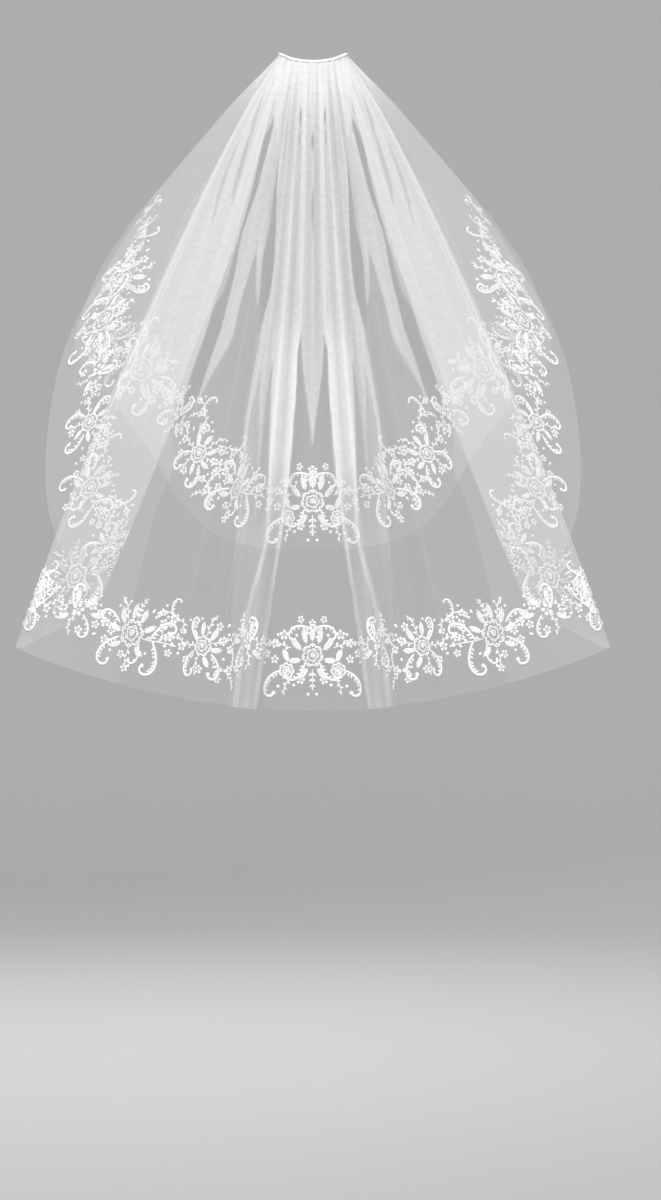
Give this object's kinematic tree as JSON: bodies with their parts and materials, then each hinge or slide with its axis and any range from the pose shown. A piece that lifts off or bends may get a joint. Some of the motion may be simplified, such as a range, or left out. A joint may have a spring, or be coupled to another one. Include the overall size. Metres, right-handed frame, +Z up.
{
  "type": "bridal veil",
  "caption": "Tiered bridal veil of sheer tulle with lace borders, gathered on a hair comb and falling behind the wearer in soft folds.",
  "frame": {"origin": "middle of the gathered top edge, where the comb holds the veil in the wearer's hair", "axes": "+Z up, +Y the way the wearer faces, +X towards the wearer's right; the cloth falls on the -Y side"},
  "size_m": [0.6854, 0.1684, 0.7619],
  "materials": {
    "tulle": "sheer soft white nylon net",
    "lace": "white embroidery thread with a light sheen",
    "binding": "white satin ribbon",
    "comb": "translucent white plastic"
  },
  "bodies": {
    "root": {"long_tier": "tulle", "short_tier": "tulle", "long_lace_border": "lace", "short_lace_border": "lace", "gather_binding": "binding", "comb": "comb"}
  },
  "joints": []
}
